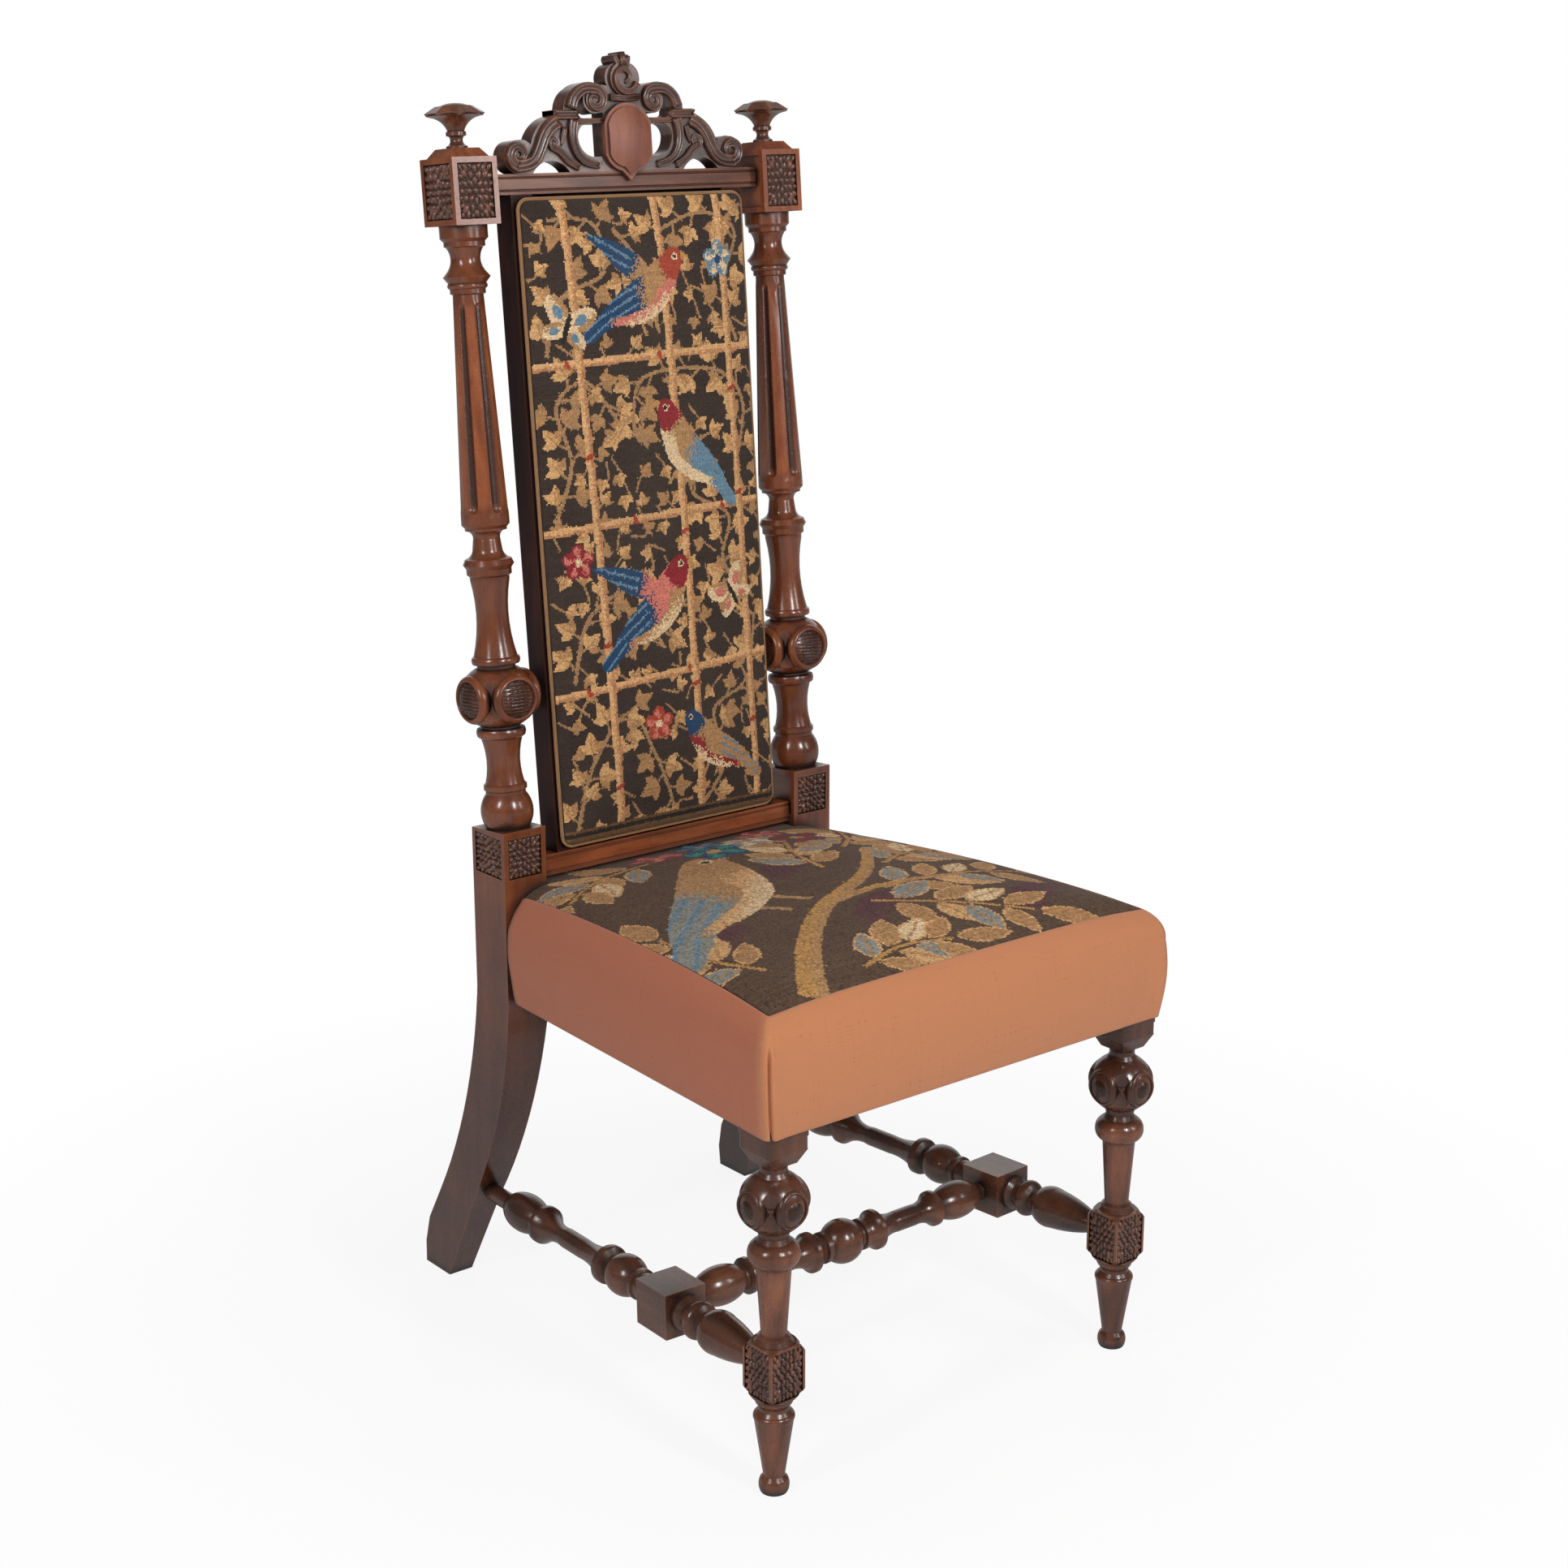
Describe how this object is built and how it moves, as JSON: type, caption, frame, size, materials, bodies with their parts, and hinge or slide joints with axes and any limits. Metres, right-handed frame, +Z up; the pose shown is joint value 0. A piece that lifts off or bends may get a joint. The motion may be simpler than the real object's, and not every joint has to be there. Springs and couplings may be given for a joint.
{
  "type": "upholstered side chair",
  "caption": "High-back walnut side chair with turned and carved posts, pierced cresting, needlework back panel and stuffed-over sprung seat",
  "frame": {"origin": "on the floor under the middle of the chair's bounding box", "axes": "+Z up, the chair faces -Y, +X to the right of a person who looks at its front"},
  "size_m": [0.4666, 0.5885, 1.1692],
  "materials": {
    "walnut": "polished walnut",
    "beech": "raw sawn beech",
    "steel": "drawn wire",
    "brass": "aged brass",
    "webbing": "jute web",
    "hessian": "open jute weave",
    "stuffing": "curled hair",
    "needlework": "wool stitches on canvas",
    "border_cloth": "plain ribbed cloth",
    "braid": "woven braid",
    "lining": "plain cotton lining"
  },
  "bodies": {
    "root": {"right_back_post": "walnut", "left_back_post": "walnut", "right_front_leg": "walnut", "left_front_leg": "walnut", "right_finial": "walnut", "left_finial": "walnut", "right_side_stretcher": "walnut", "left_side_stretcher": "walnut", "cross_stretcher": "walnut", "back_top_rail": "walnut", "back_bottom_rail": "walnut", "right_back_stile": "walnut", "left_back_stile": "walnut", "cresting": "walnut", "crest_shield": "walnut", "front_seat_rail": "beech", "back_seat_rail": "beech", "right_seat_rail": "beech", "left_seat_rail": "beech", "corner_blocks": "beech", "crest_dowels": "beech", "corner_block_screws": "steel", "seat_springs": "steel", "seat_tacks": "steel", "back_tacks": "brass", "back_webbing": "webbing", "seat_webbing": "webbing", "back_hessian": "hessian", "spring_hessian": "hessian", "back_stuffing": "stuffing", "seat_stuffing": "stuffing", "back_needlework_cover": "needlework", "seat_needlework_cover": "needlework", "seat_border_band": "border_cloth", "back_gimp": "braid", "outside_back_cloth": "lining", "seat_dust_cover": "lining"}
  },
  "joints": []
}
